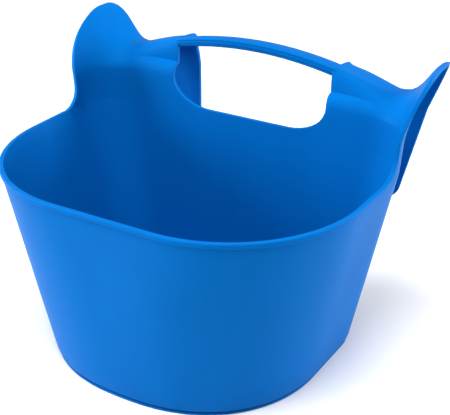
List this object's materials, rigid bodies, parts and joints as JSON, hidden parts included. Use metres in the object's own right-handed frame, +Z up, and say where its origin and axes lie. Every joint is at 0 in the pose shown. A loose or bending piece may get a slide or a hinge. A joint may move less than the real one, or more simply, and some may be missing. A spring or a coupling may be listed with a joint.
{
  "type": "feed bucket",
  "caption": "D-shaped moulded feed bucket whose back wall rises into a hook for a gate, with a hand hole under a grooved carry handle.",
  "frame": {"origin": "on the floor, under the centre of the bucket's bounding box", "axes": "+X to the right seen from the front, +Y towards the hook at the back, +Z up"},
  "size_m": [0.4152, 0.318, 0.303],
  "materials": {
    "moulded_plastic": "satin moulded polyethylene, bright blue"
  },
  "bodies": {
    "root": {"tub_floor": "moulded_plastic", "foot_ring": "moulded_plastic", "wall_front": "moulded_plastic", "wall_left": "moulded_plastic", "wall_right": "moulded_plastic", "wall_back": "moulded_plastic", "rim_lip": "moulded_plastic", "back_riser": "moulded_plastic", "saddle_left": "moulded_plastic", "saddle_right": "moulded_plastic", "ear_left": "moulded_plastic", "ear_right": "moulded_plastic", "hook_leg_left": "moulded_plastic", "hook_leg_right": "moulded_plastic", "carry_handle": "moulded_plastic"}
  },
  "joints": []
}
